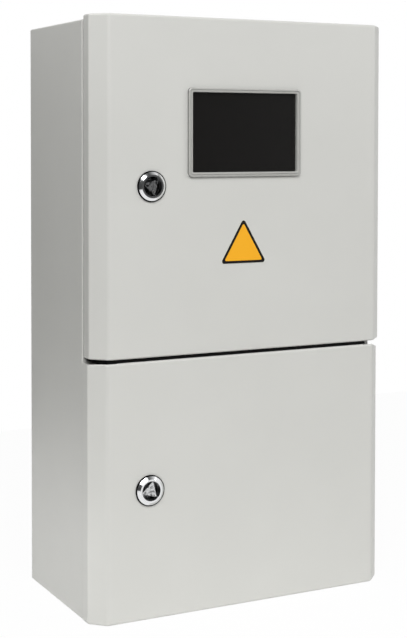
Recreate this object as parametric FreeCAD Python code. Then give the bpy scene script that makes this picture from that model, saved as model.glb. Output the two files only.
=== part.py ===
import FreeCAD, Part
import math
import os
from FreeCAD import Vector

# A wall-mounted steel enclosure for an electricity meter and its breakers, in millimetres.
# Two hinged doors cover the front: a taller one with a window over the meter, a lower one over the breakers.
# X runs along the width, Z up, and the doors face -Y. While a piece is built, y is its distance behind the
# doors' front face. The last step moves everything so that the origin is the middle of the base.

# Box
body_width = 304.0          # outside of one side wall to the outside of the other
upper_height = 301.8        # middle of the front bar to the top of the roof
lower_height = 234.2        # underside of the box to the middle of the front bar
body_depth = 132.0          # front flange to the back of the back wall
body_sheet = 1.0            # thickness of the folded steel
body_bend = 1.4             # outside radius of the box's folded edges
flange_width = 20.0         # front flange inwards from the outside of each wall
flange_edge_round = 0.8     # outside radius of the flange's front edges
back_edge_round = 0.9       # outside radius round the back wall
lip_reach = 18.0            # how far the gutter lip stands forward of the flange
lip_sheet = 1.0             # thickness of the gutter lip
crossbar_height = 36.0      # front bar between the two openings, behind the gap between the doors
divider_clearance = 0.5     # rubber strip in the gap between the doors, to each door
divider_setback = 1.5       # strip's front edge behind the doors' front face
divider_left_gap = 5.0      # strip's left-hand end to the outside of the doors' returns
divider_right_gap = 1.5     # strip's right-hand end to the right-hand side of the openings

# Doors
door_overhang = 0.5         # outside of each return beyond the box's side wall
door_depth = 25.0           # front face to the back edge of the returns
door_sheet = 1.2            # thickness of the door's steel
door_seat_gap = 3.0         # back edge of the returns to the box's front flange
door_split_gap = 3.15       # open gap between the two doors
door_top_overhang = 4.0     # top of the upper door above the roof
doors_bottom = 0.5          # bottom of the lower door above the underside of the box
bevel_width = 13.5          # slope along each vertical edge, seen from the front
bevel_depth = 13.5          # the same slope, seen from above
bevel_front_bend = 6.0      # outside radius where the slope leaves the front face
bevel_side_bend = 3.0       # outside radius where the slope meets the return
door_edge_round = 2.0       # outside radius along the doors' top and bottom edges
upper_corner_relief = 0.4   # slopes' ends cut back at the returns, above the gap between the doors
lower_lock_relief = 1.0     # the same below the gap, on the side of the locks
lower_hinge_relief = 5.0    # the same below the gap, on the side of the hinges
flange_end_gap = 10.0       # ends of the doors' flanges along the gap, to where the slopes begin
upper_door_offset = 0.8     # the upper door hangs this far to the right
lower_door_offset = -0.8    # the lower door hangs this far to the left

# Gaskets
gasket_width = 10.0         # width of the foam strip on each door
gasket_gap = 0.3            # foam to the lip that it closes on
gasket_corner = 5.0         # outside corner radius of the foam loop

# Hinges: three knuckles on one pin, inside the door's right-hand return
pin_radius = 2.5
pin_inset = 6.5             # pin's axis to the outside of the door's return
pin_setback = 17.0          # pin's axis behind the doors' front face
knuckle_wall = 1.7          # metal round the pin
knuckle_height = 14.0       # the fixed middle knuckle
arm_height = 12.0           # each of the door's two knuckles
knuckle_gap = 0.4           # between knuckles
pin_running_clearance = 0.05
leaf_thickness = 2.0        # fixed leaf on the side of the lip
leaf_height = 34.0
leaf_front_margin = 2.0     # leaf's front edge to the lip's front edge
leaf_back_margin = 1.0      # leaf's back edge to the box's flange
neck_thickness = 3.6        # web from the leaf to its knuckle
neck_drop = 0.8             # web's back face behind the pin's axis
arm_web = 4.0               # thickness of the web from each door knuckle to the return
pin_head_radius = 3.7
pin_head_height = 1.6
pin_tail = 1.5              # pin below the lowest knuckle
hinge_inset = 55.0          # each hinge's middle to the nearer end of its door

# Window in the upper door
window_width = 117.2        # outside of the clear rim
window_height = 80.6
window_corner = 4.0
window_from_edge = 149.0    # middle of the window to the door's left-hand edge
window_drop = 103.6         # middle of the window below the door's top
window_proud = 2.6          # rim in front of the door
window_rim = 4.2            # width of the rim
window_overlap = 3.0        # rim over the edge of the cut-out
window_sink = 1.0           # pane's front face behind the door's front face
window_glass = 2.0          # thickness of the pane
window_collar = 2.0         # wall of the collar that goes through the door
window_collar_depth = 7.0   # collar behind the door's front face
window_fit = 0.2            # round the collar, in the cut-out and in the retainer
window_rim_chamfer = 0.9    # sloped outer edge of the rim
retainer_thickness = 2.5
retainer_width = 8.0        # flat frame that holds the collar from inside

# Triangular sticker on the upper door
sticker_side = 48.4
sticker_corner = 2.4
sticker_thickness = 0.3
sticker_from_edge = 147.5   # middle of the sticker to the door's left-hand edge
sticker_gap = 37.7          # its top corner to the window's lower edge

# Quarter-turn locks, about halfway up each door
lock_from_edge = 54.5       # axis to the door's left-hand edge
lock_rise = 0.5             # axis above the middle of the door
bezel_radius = 12.9
bezel_proud = 3.6           # bezel in front of the door
bezel_edge = 1.6            # where the bezel's slope ends, in front of the door
bezel_face_radius = 10.5    # where the slope meets the narrow flat front
lock_seal_thickness = 1.2   # rubber ring between the bezel and the door
lock_seal_reach = 1.0       # its outer edge beyond the bezel's
socket_radius = 8.9         # round recess for the key
socket_depth = 12.0         # its floor behind the door's front face
barrel_radius = 11.2
barrel_hole_gap = 0.25      # barrel in the door's hole
spindle_radius = 6.0
rotor_running_clearance = 0.06
rotor_face = 6.5            # front of the insert's disc behind the door's front face
rotor_end_gap = 0.3         # insert's disc to the floor of the recess
key_side = 15.2             # side of the triangular driver
key_corner = 0.8
key_back = 2.0              # driver's front behind the bezel's face
upper_key_turn = -45.0      # degrees each driver is turned from point-up
lower_key_turn = -17.0
lock_nut_flats = 28.0       # across the flats of the nut that holds the barrel
lock_nut_height = 5.0
lock_nut_gap = 0.05
cam_gap = 1.0               # cam in front of it to the flange that it catches
cam_thickness = 2.5
cam_length = 46.0           # axis to tip
cam_width = 18.0
cam_tip_width = 14.0
cam_square = 9.0            # square end of the spindle
cam_screw_radius = 5.5
cam_screw_height = 3.0
cam_thread_radius = 2.5
cam_thread_length = 12.0
cam_washer_radius = 7.0
cam_washer_height = 1.0

# Partition between the compartments
partition_sheet = 1.0
partition_fold = 12.0       # flanges turned down at the front and the back
partition_slot_length = 120.0
partition_slot_width = 32.0
partition_slot_setback = 96.0   # middle of the cable slot behind the doors' front face
trim_wall = 1.5             # rubber edging of the cable slot
trim_overlap = 3.0

# Meter plate in the upper compartment
plate_side_gap = 56.0       # plate's edges to the side walls
plate_end_gap = 16.0        # plate's ends to the upper opening's ends, seen from the front
plate_sheet = 1.5
plate_standoff = 18.0       # plate's back face to the back wall
plate_edge = 12.0           # fixing screws to the plate's edges
plate_slot_length = 30.0
plate_slot_radius = 2.75
plate_slot_spacing = 55.0
standoff_radius = 5.0
plate_screw_radius = 4.5
plate_screw_height = 2.8

# Device rail in the lower compartment
rail_end_gap = 33.0         # rail's ends to the side walls
rail_width = 35.0
rail_crown = 27.0
rail_height = 7.5
rail_sheet = 1.0
rail_rise = 9.9             # rail's middle above the inner cover's middle
rail_behind_cover = 45.0    # rail's front to the inner cover's front
rail_bracket_width = 24.0
rail_bracket_height = 30.0
rail_bracket_sheet = 1.5
rail_bracket_inset = 30.0   # bracket's middle to the rail's end
rail_screw_radius = 3.6
rail_screw_height = 2.2

# Inner cover over the live parts
cover_setback = 58.0        # cover's front behind the doors' front face
cover_sheet = 1.0
cover_clearance = 3.0       # cover's edges to the lower opening's lip
cover_fold = 9.0
cover_slot_margin = 20.0    # slot's ends to the cover's side edges
cover_slot_height = 46.0
post_radius = 3.0
post_inset = 12.0           # posts to the cover's edges
post_collar_radius = 5.0
post_collar_height = 3.0
cover_nut_radius = 6.0
cover_nut_height = 6.0
cover_post_proud = 8.0      # posts in front of the cover

# Neutral and earth bars
bar_length = 96.0
bar_height = 9.0
bar_depth = 7.0
bar_screws = 9
bar_screw_radius = 2.6
bar_screw_proud = 1.6
bar_wire_radius = 2.6
bar_end_margin = 8.0        # first screw to the bar's end
bar_standoff = 20.0         # bar's back face to the back wall
holder_width = 12.0
holder_height = 18.0
holder_inset = 4.0          # holder's outer side to the bar's end
neutral_drop = 43.7         # neutral bar's middle below the partition
earth_rise = 59.0           # earth bar's middle above the floor

# Cable entries, closed by blind rubber plugs
entry_radius = 14.0
entry_plug_web = 2.0        # thickness of the rubber over the hole
entry_lip = 3.0             # plug's lip round the hole
entry_lip_height = 2.0
bottom_entries = 4
bottom_entry_pitch = 58.0
top_entries = 2
top_entry_pitch = 120.0
entry_setback = 104.0       # behind the doors' front face

# Wall fixing holes in the back wall
fixing_radius = 4.0
fixing_spacing_x = 230.0
fixing_spacing_z = 440.0

# Earthing studs
stud_radius = 3.0
stud_length = 20.0
door_stud_length = 14.0
stud_nut_flats = 10.0
stud_nut_height = 5.0
stud_washer_radius = 6.0
stud_washer_height = 1.2
stud_inset = 24.0           # studs in the box, from the outside of the left-hand wall
stud_rise = 26.0            # above the floor of each compartment
door_stud_x = -70.0         # studs on the doors
door_stud_rise = 32.0       # above each door's lower edge

# Shared by many pieces
screw_slot_share = 1 / 3    # width of a screw's driver slot, as a share of its head's radius
cut_past = 1.0              # how far a cutting shape runs past the faces that it cuts

# Places that follow from the sizes above
body_height = lower_height + upper_height
crossbar_level = lower_height
doors_top = body_height + door_top_overhang
door_width = body_width + 2 * door_overhang
flange_front = door_depth + door_seat_gap
flange_back = flange_front + body_sheet
lip_front = flange_front - lip_reach
back_outside = flange_front + body_depth
back_inside = back_outside - body_sheet
half_body = body_width / 2
half_opening = half_body - flange_width
half_door = door_width / 2
upper_low = crossbar_level + door_split_gap / 2
lower_high = crossbar_level - door_split_gap / 2
opening_top = body_height - flange_width
opening_upper_low = crossbar_level + crossbar_height / 2
opening_lower_high = crossbar_level - crossbar_height / 2
opening_bottom = flange_width
upper_lock_level = (upper_low + doors_top) / 2 + lock_rise
lower_lock_level = (doors_bottom + lower_high) / 2 + lock_rise
upper_door_left = upper_door_offset - half_door
lower_door_left = lower_door_offset - half_door
upper_lock_x = upper_door_left + lock_from_edge
lower_lock_x = lower_door_left + lock_from_edge
window_x = upper_door_left + window_from_edge
window_level = doors_top - window_drop
sticker_x = upper_door_left + sticker_from_edge
sticker_top = window_level - window_height / 2 - sticker_gap
cam_front = flange_back + cam_gap
knuckle_radius = pin_radius + knuckle_wall
arm_start = knuckle_height / 2 + knuckle_gap
arm_end = arm_start + arm_height
partition_top = crossbar_level + partition_sheet / 2
partition_low = crossbar_level - partition_sheet / 2
cover_half = half_opening - lip_sheet - cover_clearance
cover_low = opening_bottom + lip_sheet + cover_clearance
cover_high = opening_lower_high - lip_sheet - cover_clearance
cover_slot_length = 2 * (cover_half - cover_slot_margin)
rail_front = cover_setback + rail_behind_cover
rail_level = (cover_low + cover_high) / 2 + rail_rise
rail_length = 2 * (half_body - body_sheet - rail_end_gap)
plate_front = back_inside - plate_standoff - plate_sheet
plate_level = (opening_upper_low + opening_top) / 2
plate_width = 2 * (half_body - body_sheet - plate_side_gap)
plate_height = opening_top - opening_upper_low - 2 * plate_end_gap
neutral_level = partition_low - neutral_drop
earth_level = body_sheet + earth_rise
fixing_level = body_height / 2
stud_x = stud_inset - half_body
depth_middle = (back_outside - bezel_proud) / 2


def block(x0, x1, y0, y1, z0, z1):
    """A box between two opposite corners."""
    return Part.makeBox(x1 - x0, y1 - y0, z1 - z0, Vector(x0, y0, z0))


def rod_y(x, z, radius, y0, y1):
    """A round bar along the depth."""
    return Part.makeCylinder(radius, y1 - y0, Vector(x, y0, z), Vector(0, 1, 0))


def rod_z(x, y, radius, z0, z1):
    """An upright round bar."""
    return Part.makeCylinder(radius, z1 - z0, Vector(x, y, z0), Vector(0, 0, 1))


def prism_y(points, y0, y1):
    """A flat shape drawn in x and z, made thick along the depth."""
    loop = [Vector(x, y0, z) for x, z in points]
    face = Part.Face(Part.makePolygon(loop + loop[:1]))
    return face.extrude(Vector(0, y1 - y0, 0))


def prism_z(points, z0, z1):
    """A flat shape drawn in x and y, made tall."""
    loop = [Vector(x, y, z0) for x, y in points]
    face = Part.Face(Part.makePolygon(loop + loop[:1]))
    return face.extrude(Vector(0, 0, z1 - z0))


def hexagon_y(x, z, flats, y0, y1):
    """A hexagonal bar along the depth, two flats upright."""
    radius = flats / math.sqrt(3)
    corners = [math.radians(30 + 60 * side) for side in range(6)]
    points = [(x + radius * math.cos(turn), z + radius * math.sin(turn)) for turn in corners]
    return prism_y(points, y0, y1)


def edges_along(shape, axis):
    """The straight edges of a shape that run along one axis."""
    found = []
    for edge in shape.Edges:
        ends = [vertex.Point for vertex in edge.Vertexes]
        if len(ends) == 2 and (ends[1] - ends[0]).normalize().isEqual(axis, 1e-6):
            found.append(edge)
        elif len(ends) == 2 and (ends[0] - ends[1]).normalize().isEqual(axis, 1e-6):
            found.append(edge)
    return found


def rounded_slab(x, z, width, height, corner, y0, y1):
    """A rectangular slab facing the front, with rounded corners."""
    slab = block(x - width / 2, x + width / 2, y0, y1, z - height / 2, z + height / 2)
    return slab.makeFillet(corner, edges_along(slab, Vector(0, 1, 0)))


def slot_y(x, z, length, radius, y0, y1):
    """An upright slot with round ends, to be cut out."""
    half = length / 2 - radius
    middle = block(x - radius, x + radius, y0, y1, z - half, z + half)
    return middle.fuse([rod_y(x, z - half, radius, y0, y1), rod_y(x, z + half, radius, y0, y1)])


def group(solids):
    """Several separate solids kept in one file."""
    return Part.makeCompound(solids)


def one_solid(shape):
    """A tidy single solid from the result of a fuse or a cut."""
    tidy = shape.removeSplitter()
    return tidy.Solids[0] if len(tidy.Solids) == 1 else tidy


# The box

def entry_places(count, pitch):
    """Middles of a row of cable entries, spread about the box's middle."""
    return [(step - (count - 1) / 2) * pitch for step in range(count)]


def fixing_places():
    """Middles of the wall fixing holes, as x and z."""
    half_x = fixing_spacing_x / 2
    half_z = fixing_spacing_z / 2
    return [(x, fixing_level + z) for x in (-half_x, half_x) for z in (-half_z, half_z)]


def box_outline(y0, y1, face_y, radius):
    """Slab with the box's outline, rounded along its four corners and round one of its faces."""
    slab = block(-half_body, half_body, y0, y1, 0, body_height)
    slab = slab.makeFillet(body_bend, edges_along(slab, Vector(0, 1, 0)))
    return slab.makeFillet(radius, [edge for edge in slab.Edges
                                    if all(abs(vertex.Y - face_y) < 1e-4 for vertex in edge.Vertexes)])


def enclosure_shell():
    """Folded box, open at the front: back, sides, floor and roof."""
    outside = box_outline(flange_back, back_outside, back_outside, back_edge_round)
    inner = half_body - body_sheet
    cuts = [block(-inner, inner, flange_back - cut_past, back_inside, body_sheet, body_height - body_sheet)]
    cuts += [rod_y(x, z, fixing_radius, back_inside - body_sheet, back_outside + body_sheet)
             for x, z in fixing_places()]
    cuts += [rod_z(x, entry_setback, entry_radius, -body_sheet, 2 * body_sheet)
             for x in entry_places(bottom_entries, bottom_entry_pitch)]
    cuts += [rod_z(x, entry_setback, entry_radius, body_height - 2 * body_sheet, body_height + body_sheet)
             for x in entry_places(top_entries, top_entry_pitch)]
    return one_solid(outside.cut(cuts))


def front_flange():
    """Flat frame round the open front, over the edges of the walls."""
    frame = box_outline(flange_front, flange_back, flange_front, flange_edge_round)
    return frame.cut(block(-half_opening, half_opening, flange_front - cut_past, flange_back + cut_past,
                           opening_bottom, opening_top))


def rim(low, high):
    """Gutter lip: four strips that stand forward round one opening."""
    outer = block(-half_opening, half_opening, lip_front, flange_back, low, high)
    inner = block(-half_opening + lip_sheet, half_opening - lip_sheet, lip_front - lip_sheet,
                  flange_back + lip_sheet, low + lip_sheet, high - lip_sheet)
    return outer.cut(inner)


def crossbar():
    """Flat front bar that closes the box between the two openings."""
    return block(-half_opening, half_opening, flange_front, flange_back,
                 opening_lower_high, opening_upper_low)


def door_divider():
    """Thin rubber strip on the front bar. It stands forward in the gap between the doors and fills it."""
    half = door_split_gap / 2 - divider_clearance
    left = divider_left_gap - half_door
    right = half_opening - divider_right_gap
    points = [(left, flange_front), (left, bevel_depth + divider_setback),
              (left + bevel_width - divider_left_gap, divider_setback), (right, divider_setback),
              (right, flange_front)]
    return prism_z(points, crossbar_level - half, crossbar_level + half)


def partition_slot(margin, z0, z1):
    """Cable slot through the partition, made larger or smaller by a margin."""
    half_x = partition_slot_length / 2 + margin
    half_y = partition_slot_width / 2 + margin
    return block(-half_x, half_x, partition_slot_setback - half_y, partition_slot_setback + half_y, z0, z1)


def partition():
    """Shelf between the compartments, with its front and back edges turned down."""
    inner = half_body - body_sheet
    shelf = block(-inner, inner, flange_back, back_inside, partition_low, partition_top)
    front = block(-inner, inner, flange_back, flange_back + partition_sheet,
                  partition_low - partition_fold, partition_low)
    back = block(-inner, inner, back_inside - partition_sheet, back_inside,
                 partition_low - partition_fold, partition_low)
    slot = partition_slot(0, partition_low - cut_past, partition_top + cut_past)
    return one_solid(shelf.fuse([front, back]).cut(slot))


def partition_trim():
    """Rubber edging that wraps the rim of the cable slot."""
    low = partition_low - trim_wall
    high = partition_top + trim_wall
    passage = partition_slot(-trim_wall, low - cut_past, high + cut_past)
    whole = partition_slot(trim_overlap, low, high).cut(passage)
    groove = partition_slot(trim_overlap + cut_past, partition_low, partition_top)
    groove = groove.cut(partition_slot(0, partition_low, partition_top))
    return one_solid(whole.cut(groove))


def bottom_plugs():
    """Blind plugs in the floor, flush underneath, with their lips inside."""
    solids = []
    for x in entry_places(bottom_entries, bottom_entry_pitch):
        web = rod_z(x, entry_setback, entry_radius, 0, entry_plug_web)
        lip = rod_z(x, entry_setback, entry_radius + entry_lip, body_sheet, body_sheet + entry_lip_height)
        solids.append(one_solid(web.fuse(lip)))
    return group(solids)


def top_plugs():
    """Blind plugs in the roof, with their lips outside."""
    solids = []
    for x in entry_places(top_entries, top_entry_pitch):
        web = rod_z(x, entry_setback, entry_radius, body_height - body_sheet - entry_plug_web, body_height)
        lip = rod_z(x, entry_setback, entry_radius + entry_lip, body_height, body_height + entry_lip_height)
        solids.append(one_solid(web.fuse(lip)))
    return group(solids)


def stud_places():
    """Earthing studs in the box, one in each compartment, as x and z."""
    return [(stud_x, body_sheet + stud_rise), (stud_x, partition_top + stud_rise)]


def nut_on_washer(x, z, y_seat, direction):
    """A nut and its washer on a stud, stacked away from the seat along the depth."""
    washer_end = y_seat + direction * stud_washer_height
    nut_end = washer_end + direction * stud_nut_height
    washer = rod_y(x, z, stud_washer_radius, min(y_seat, washer_end), max(y_seat, washer_end))
    nut = hexagon_y(x, z, stud_nut_flats, min(washer_end, nut_end), max(washer_end, nut_end))
    bore = rod_y(x, z, stud_radius, min(y_seat, nut_end) - cut_past, max(y_seat, nut_end) + cut_past)
    return one_solid(washer.fuse(nut).cut(bore))


def earth_studs():
    """Threaded studs welded to the back wall."""
    return group([rod_y(x, z, stud_radius, back_inside - stud_length, back_inside) for x, z in stud_places()])


def earth_nuts():
    """Nuts and washers on those studs."""
    return group([nut_on_washer(x, z, back_inside, -1) for x, z in stud_places()])


# Meter plate

def plate_fixings():
    """Corners of the meter plate where it is screwed down, as x and z."""
    half_x = plate_width / 2 - plate_edge
    half_z = plate_height / 2 - plate_edge
    return [(x, plate_level + z) for x in (-half_x, half_x) for z in (-half_z, half_z)]


def meter_plate():
    """Flat galvanised plate with upright slots for the meter's screws."""
    back = plate_front + plate_sheet
    low = plate_level - plate_height / 2
    plate = block(-plate_width / 2, plate_width / 2, plate_front, back, low, low + plate_height)
    cuts = [slot_y(column * plate_slot_spacing, plate_level + row * plate_slot_spacing, plate_slot_length,
                   plate_slot_radius, plate_front - cut_past, back + cut_past)
            for column in (-1, 0, 1) for row in (-1, 0, 1)]
    return one_solid(plate.cut(cuts))


def plate_standoffs():
    """Round spacers between the meter plate and the back wall."""
    return group([rod_y(x, z, standoff_radius, plate_front + plate_sheet, back_inside)
                  for x, z in plate_fixings()])


def slotted_head(x, z, radius, height, y_seat):
    """A screw head that stands forward from its seat, with a driver slot."""
    head = rod_y(x, z, radius, y_seat - height, y_seat)
    half_slot = radius * screw_slot_share / 2
    slot = block(x - radius, x + radius, y_seat - height - cut_past, y_seat - height / 2,
                 z - half_slot, z + half_slot)
    return one_solid(head.cut(slot))


def plate_screws():
    """Screws that hold the meter plate on its spacers."""
    return group([slotted_head(x, z, plate_screw_radius, plate_screw_height, plate_front)
                  for x, z in plate_fixings()])


# Device rail

def device_rail():
    """Top-hat rail for clip-on breakers: a channel with a rim along each edge."""
    half = rail_length / 2
    back = rail_front + rail_height
    crown = rail_crown / 2
    wide = rail_width / 2
    base = block(-half, half, back - rail_sheet, back, rail_level - crown, rail_level + crown)
    pieces = []
    for side in (-1, 1):
        web = sorted((rail_level + side * crown, rail_level + side * (crown - rail_sheet)))
        edge = sorted((rail_level + side * (crown - rail_sheet), rail_level + side * wide))
        pieces.append(block(-half, half, rail_front, back, web[0], web[1]))
        pieces.append(block(-half, half, rail_front, rail_front + rail_sheet, edge[0], edge[1]))
    return one_solid(base.fuse(pieces))


def rail_bracket_places():
    """Middles of the rail's two brackets along the width."""
    return [side * (rail_length / 2 - rail_bracket_inset) for side in (-1, 1)]


def rail_brackets():
    """Channel-shaped feet that carry the rail off the back wall."""
    solids = []
    front = rail_front + rail_height
    for x in rail_bracket_places():
        left = x - rail_bracket_width / 2
        right = x + rail_bracket_width / 2
        low = rail_level - rail_bracket_height / 2
        high = rail_level + rail_bracket_height / 2
        outer = block(left, right, front, back_inside, low, high)
        inner = block(left - cut_past, right + cut_past, front + rail_bracket_sheet, back_inside + cut_past,
                      low + rail_bracket_sheet, high - rail_bracket_sheet)
        solids.append(outer.cut(inner))
    return group(solids)


def rail_screws():
    """Screws through the rail's base into its brackets."""
    seat = rail_front + rail_height - rail_sheet
    return group([slotted_head(x, rail_level, rail_screw_radius, rail_screw_height, seat)
                  for x in rail_bracket_places()])


# Inner cover

def post_places():
    """Posts that carry the inner cover, as x and z."""
    return [(side * (cover_half - post_inset), z)
            for side in (-1, 1) for z in (cover_low + post_inset, cover_high - post_inset)]


def inner_cover():
    """Painted cover plate with folded edges and a long slot for the breakers."""
    back = cover_setback + cover_sheet
    outer = block(-cover_half, cover_half, cover_setback, cover_setback + cover_fold, cover_low, cover_high)
    inner = block(-cover_half + cover_sheet, cover_half - cover_sheet,
                  back, cover_setback + cover_fold + cut_past,
                  cover_low + cover_sheet, cover_high - cover_sheet)
    half_slot = cover_slot_height / 2
    slot = block(-cover_slot_length / 2, cover_slot_length / 2, cover_setback - cut_past, back + cut_past,
                 rail_level - half_slot, rail_level + half_slot)
    holes = [rod_y(x, z, post_radius, cover_setback - cut_past, back + cut_past) for x, z in post_places()]
    return one_solid(outer.cut([inner, slot] + holes))


def cover_posts():
    """Threaded posts from the back wall, each with a collar that the cover rests on."""
    solids = []
    seat = cover_setback + cover_sheet
    for x, z in post_places():
        post = rod_y(x, z, post_radius, cover_setback - cover_post_proud, back_inside)
        collar = rod_y(x, z, post_collar_radius, seat, seat + post_collar_height)
        solids.append(one_solid(post.fuse(collar)))
    return group(solids)


def cover_nuts():
    """Thumb nuts that hold the cover on its posts."""
    solids = []
    for x, z in post_places():
        nut = rod_y(x, z, cover_nut_radius, cover_setback - cover_nut_height, cover_setback)
        bore = rod_y(x, z, post_radius, cover_setback - cover_nut_height - cut_past, cover_setback + cut_past)
        solids.append(nut.cut(bore))
    return group(solids)


# Neutral and earth bars

def bar_screw_places():
    """Positions of the clamping screws along a bar."""
    span = bar_length - 2 * bar_end_margin
    return [-span / 2 + span * step / (bar_screws - 1) for step in range(bar_screws)]


def bar_front():
    """The bars' front face behind the doors' front face."""
    return back_inside - bar_standoff - bar_depth


def bus_bar(level):
    """Square bar with an upright wire hole and a tapped hole at each screw."""
    front = bar_front()
    low = level - bar_height / 2
    bar = block(-bar_length / 2, bar_length / 2, front, front + bar_depth, low, low + bar_height)
    cuts = [rod_z(x, front + bar_depth / 2, bar_wire_radius, low - cut_past, low + bar_height + cut_past)
            for x in bar_screw_places()]
    return one_solid(bar.cut(cuts))


def bar_screw_heads(level):
    """Heads of the clamping screws, standing on the bar's front face."""
    front = bar_front()
    return group([slotted_head(x, level, bar_screw_radius, bar_screw_proud, front)
                  for x in bar_screw_places()])


def bar_holders(level):
    """Two blocks that carry a bar off the back wall."""
    solids = []
    for side in (-1, 1):
        outer = side * (bar_length / 2 - holder_inset)
        inner = outer - side * holder_width
        left = min(outer, inner)
        solids.append(block(left, left + holder_width, bar_front() + bar_depth, back_inside,
                            level - holder_height / 2, level + holder_height / 2))
    return group(solids)


# Doors

def pan_points(offset, inset, back):
    """Section of a door seen from above, moved inwards by a sheet thickness."""
    slope = math.atan2(bevel_width, bevel_depth)
    side = half_door - inset
    slope_back = bevel_depth + inset * math.tan(slope / 2)
    slope_front = half_door - bevel_width - inset * math.tan((math.pi / 2 - slope) / 2)
    points = [(-side, back), (-side, slope_back), (-slope_front, inset)]
    points += [(slope_front, inset), (side, slope_back), (side, back)]
    return [(offset + x, y) for x, y in points]


def bend_edges(shape, x, y):
    """Upright edges of a shape at one place in plan."""
    return [edge for edge in edges_along(shape, Vector(0, 0, 1))
            if abs(edge.Vertexes[0].X - x) < 1e-4 and abs(edge.Vertexes[0].Y - y) < 1e-4]


def end_edges(shape, level, back):
    """Edges round one end of a door, leaving out its open back."""
    found = []
    for edge in shape.Edges:
        flat = all(abs(vertex.Z - level) < 1e-4 for vertex in edge.Vertexes)
        at_back = all(abs(vertex.Y - back) < 1e-4 for vertex in edge.Vertexes)
        if flat and not at_back:
            found.append(edge)
    return found


def pan_block(offset, inset, back, low, high):
    """Door-shaped solid with its bends rounded, either the outside or the hollow."""
    points = pan_points(offset, inset, back)
    solid = prism_z(points, low, high)
    front = bend_edges(solid, *points[2]) + bend_edges(solid, *points[3])
    solid = solid.makeFillet(bevel_front_bend - inset, front)
    sides = bend_edges(solid, *points[1]) + bend_edges(solid, *points[4])
    solid = solid.makeFillet(bevel_side_bend - inset, sides)
    ends = end_edges(solid, low, back) + end_edges(solid, high, back)
    return solid.makeFillet(door_edge_round - inset, ends)


def door_pan(offset, low, high):
    """A door's folded steel: front face, sloped sides, returns, and flanges at the top and bottom."""
    outside = pan_block(offset, 0, door_depth, low, high)
    hollow = pan_block(offset, door_sheet, door_depth + door_sheet, low + door_sheet, high - door_sheet)
    return outside.cut(hollow)


def corner_cuts(offset, level, lock_rise, hinge_rise):
    """Cuts at one end of a door: the slopes' ends, raised at each return, and the flange's ends."""
    cuts = []
    reach = bevel_width + flange_end_gap
    inside = pan_block(offset, door_sheet, door_depth + door_sheet, level - reach, level + reach)
    for side, rise in ((-1, lock_rise), (1, hinge_rise)):
        inner, outer = side * (half_door - bevel_width), side * (half_door + cut_past)
        end = level + rise * (bevel_width + cut_past) / bevel_width
        past = level - math.copysign(cut_past, rise)
        points = [(offset + inner, level), (offset + outer, end), (offset + outer, past),
                  (offset + inner, past)]
        cuts.append(prism_y(points, -cut_past, door_depth + cut_past))
        near, far = sorted((offset + side * (half_door - reach), offset + outer))
        low, high = sorted((past, level + math.copysign(door_edge_round + door_sheet, rise)))
        cuts.append(inside.common(block(near, far, 0, door_depth + cut_past, low, high)))
    return cuts


def lock_hole(x, z):
    """Round hole for a lock's barrel, to be cut out of a door."""
    return rod_y(x, z, barrel_radius + barrel_hole_gap, -cut_past, door_sheet + cut_past)


def upper_door_panel():
    """Upper door with its window and lock holes."""
    pan = door_pan(upper_door_offset, upper_low, doors_top)
    window = rounded_slab(window_x, window_level, window_width - 2 * window_overlap,
                          window_height - 2 * window_overlap, window_corner, -cut_past, door_sheet + cut_past)
    cuts = corner_cuts(upper_door_offset, upper_low, upper_corner_relief, upper_corner_relief)
    return one_solid(pan.cut([window, lock_hole(upper_lock_x, upper_lock_level)] + cuts))


def lower_door_panel():
    """Lower door with its lock hole."""
    pan = door_pan(lower_door_offset, doors_bottom, lower_high)
    cuts = corner_cuts(lower_door_offset, lower_high, -lower_lock_relief, -lower_hinge_relief)
    return one_solid(pan.cut([lock_hole(lower_lock_x, lower_lock_level)] + cuts))


def gasket(offset, low, high):
    """Foam loop on the inside of a door, facing the gutter lip."""
    line = half_opening - lip_sheet / 2
    half_x = line + gasket_width / 2
    middle = (low + high) / 2
    half_z = (high - low - lip_sheet) / 2 + gasket_width / 2
    back = lip_front - gasket_gap
    outer = rounded_slab(offset, middle, 2 * half_x, 2 * half_z, gasket_corner, door_sheet, back)
    reach = half_x - gasket_width
    inner = block(offset - reach, offset + reach, door_sheet - cut_past, back + cut_past,
                  middle - half_z + gasket_width, middle + half_z - gasket_width)
    return outer.cut(inner)


def door_stud(low):
    """Earthing stud on the inside of a door, with its nut and washer."""
    level = low + door_stud_rise
    stud = rod_y(door_stud_x, level, stud_radius, door_sheet, door_sheet + door_stud_length)
    return group([stud, nut_on_washer(door_stud_x, level, door_sheet, 1)])


# Hinges

def hinge_levels(low, high):
    """Heights of a door's two hinges."""
    return [low + hinge_inset, high - hinge_inset]


def pin_x(offset):
    """A hinge pin's place along the width."""
    return offset + half_door - pin_inset


def hinge_leaves(offset, low, high):
    """Fixed leaves on the outside of the lip, each with a web to its middle knuckle."""
    solids = []
    x = pin_x(offset)
    for level in hinge_levels(low, high):
        leaf = block(half_opening, half_opening + leaf_thickness, lip_front + leaf_front_margin,
                     flange_front - leaf_back_margin, level - leaf_height / 2, level + leaf_height / 2)
        web_back = pin_setback + neck_drop
        low_end = level - knuckle_height / 2
        high_end = level + knuckle_height / 2
        web = block(half_opening, x, web_back - neck_thickness, web_back, low_end, high_end)
        knuckle = rod_z(x, pin_setback, knuckle_radius, low_end, high_end)
        bore = rod_z(x, pin_setback, pin_radius, level - leaf_height, level + leaf_height)
        solids.append(one_solid(leaf.fuse([web, knuckle]).cut(bore)))
    return group(solids)


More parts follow.
